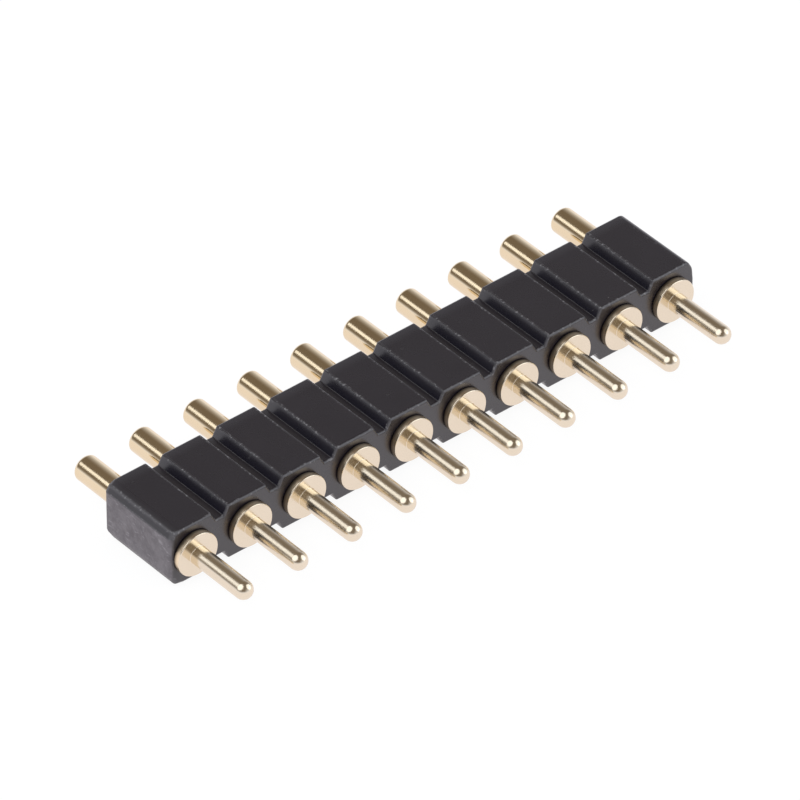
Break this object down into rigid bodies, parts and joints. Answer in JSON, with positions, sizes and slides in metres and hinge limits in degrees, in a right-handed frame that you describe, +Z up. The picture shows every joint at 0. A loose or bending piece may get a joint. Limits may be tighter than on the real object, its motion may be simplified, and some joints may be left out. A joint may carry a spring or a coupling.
{
  "type": "spring-loaded pin connector",
  "caption": "Single-row spring-loaded pin connector: black grooved bar, gold barrels with flanges and solder tails, and sprung plungers on the other side.",
  "frame": {"origin": "on the flat resting face, below the axis of the first contact and halfway through the depth of the bar", "axes": "+X along the row from the sawn end to the snapped end, +Y along the plungers, away from the solder tails, +Z up"},
  "size_m": [0.025, 0.0096, 0.0025],
  "materials": {
    "thermoplastic": "black glass-filled thermoplastic, semi-matt as moulded, rough where sawn or snapped",
    "gold_barrel": "turned brass with a smooth pale gold plate",
    "gold_plunger": "turned brass with a polished pale gold plate",
    "spring_steel": "drawn stainless spring wire"
  },
  "bodies": {
    "row": {"insulator": "thermoplastic", "barrel_1": "gold_barrel", "barrel_2": "gold_barrel", "barrel_3": "gold_barrel", "barrel_4": "gold_barrel", "barrel_5": "gold_barrel", "barrel_6": "gold_barrel", "barrel_7": "gold_barrel", "barrel_8": "gold_barrel", "barrel_9": "gold_barrel", "barrel_10": "gold_barrel", "spring_1": "spring_steel", "spring_2": "spring_steel", "spring_3": "spring_steel", "spring_4": "spring_steel", "spring_5": "spring_steel", "spring_6": "spring_steel", "spring_7": "spring_steel", "spring_8": "spring_steel", "spring_9": "spring_steel", "spring_10": "spring_steel"},
    "plunger_1": {"plunger_1": "gold_plunger"},
    "plunger_2": {"plunger_2": "gold_plunger"},
    "plunger_3": {"plunger_3": "gold_plunger"},
    "plunger_4": {"plunger_4": "gold_plunger"},
    "plunger_5": {"plunger_5": "gold_plunger"},
    "plunger_6": {"plunger_6": "gold_plunger"},
    "plunger_7": {"plunger_7": "gold_plunger"},
    "plunger_8": {"plunger_8": "gold_plunger"},
    "plunger_9": {"plunger_9": "gold_plunger"},
    "plunger_10": {"plunger_10": "gold_plunger"}
  },
  "joints": [
    {"name": "press_1", "type": "slide", "parent": "row", "child": "plunger_1", "axis": [0, -1, 0], "range_m": [0, 0.0014], "stiffness_N_per_m": 410, "springref_m": -0.0007, "deforming": ["spring_1"]},
    {"name": "press_2", "type": "slide", "parent": "row", "child": "plunger_2", "axis": [0, -1, 0], "range_m": [0, 0.0014], "stiffness_N_per_m": 410, "springref_m": -0.0007, "deforming": ["spring_2"]},
    {"name": "press_3", "type": "slide", "parent": "row", "child": "plunger_3", "axis": [0, -1, 0], "range_m": [0, 0.0014], "stiffness_N_per_m": 410, "springref_m": -0.0007, "deforming": ["spring_3"]},
    {"name": "press_4", "type": "slide", "parent": "row", "child": "plunger_4", "axis": [0, -1, 0], "range_m": [0, 0.0014], "stiffness_N_per_m": 410, "springref_m": -0.0007, "deforming": ["spring_4"]},
    {"name": "press_5", "type": "slide", "parent": "row", "child": "plunger_5", "axis": [0, -1, 0], "range_m": [0, 0.0014], "stiffness_N_per_m": 410, "springref_m": -0.0007, "deforming": ["spring_5"]},
    {"name": "press_6", "type": "slide", "parent": "row", "child": "plunger_6", "axis": [0, -1, 0], "range_m": [0, 0.0014], "stiffness_N_per_m": 410, "springref_m": -0.0007, "deforming": ["spring_6"]},
    {"name": "press_7", "type": "slide", "parent": "row", "child": "plunger_7", "axis": [0, -1, 0], "range_m": [0, 0.0014], "stiffness_N_per_m": 410, "springref_m": -0.0007, "deforming": ["spring_7"]},
    {"name": "press_8", "type": "slide", "parent": "row", "child": "plunger_8", "axis": [0, -1, 0], "range_m": [0, 0.0014], "stiffness_N_per_m": 410, "springref_m": -0.0007, "deforming": ["spring_8"]},
    {"name": "press_9", "type": "slide", "parent": "row", "child": "plunger_9", "axis": [0, -1, 0], "range_m": [0, 0.0014], "stiffness_N_per_m": 410, "springref_m": -0.0007, "deforming": ["spring_9"]},
    {"name": "press_10", "type": "slide", "parent": "row", "child": "plunger_10", "axis": [0, -1, 0], "range_m": [0, 0.0014], "stiffness_N_per_m": 410, "springref_m": -0.0007, "deforming": ["spring_10"]}
  ]
}
